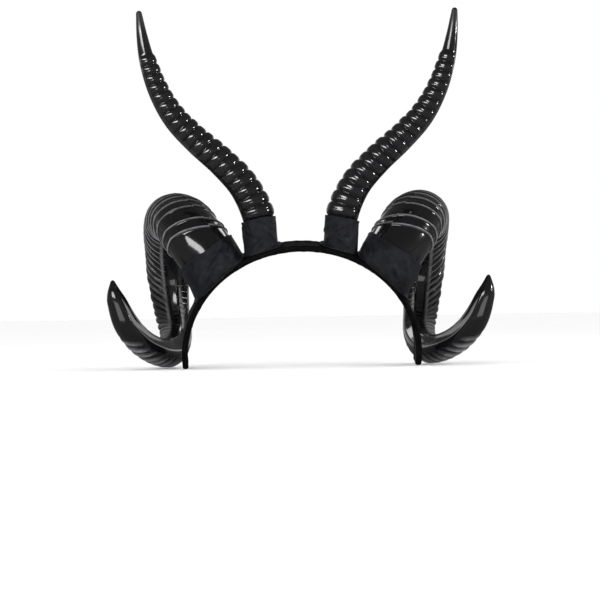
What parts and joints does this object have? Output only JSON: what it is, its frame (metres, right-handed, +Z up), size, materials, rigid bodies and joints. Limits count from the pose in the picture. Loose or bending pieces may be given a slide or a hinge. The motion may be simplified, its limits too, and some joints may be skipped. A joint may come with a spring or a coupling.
{
  "type": "ram horns headband",
  "caption": "Costume headband: a fabric-covered arch carrying tall ringed gazelle horns and large coiled ridged ram horns, each foot wrapped in stretch fabric.",
  "frame": {"origin": "middle of the footprint, on the surface that the headband stands on", "axes": "+X across the head, +Y towards the back of the head, +Z up"},
  "size_m": [0.303, 0.136, 0.2804],
  "materials": {
    "band_fabric": "black satin-like cover cloth, stretched over the band",
    "horn_gloss": "glossy black moulded plastic",
    "wrap_fabric": "dull black stretch fabric"
  },
  "bodies": {
    "root": {"headband": "band_fabric", "gazelle_horn_left": "horn_gloss", "gazelle_horn_right": "horn_gloss", "ram_horn_left": "horn_gloss", "ram_horn_right": "horn_gloss", "gazelle_base_wrap_left": "wrap_fabric", "gazelle_base_wrap_right": "wrap_fabric", "ram_base_wrap_left": "wrap_fabric", "ram_base_wrap_right": "wrap_fabric"}
  },
  "joints": []
}
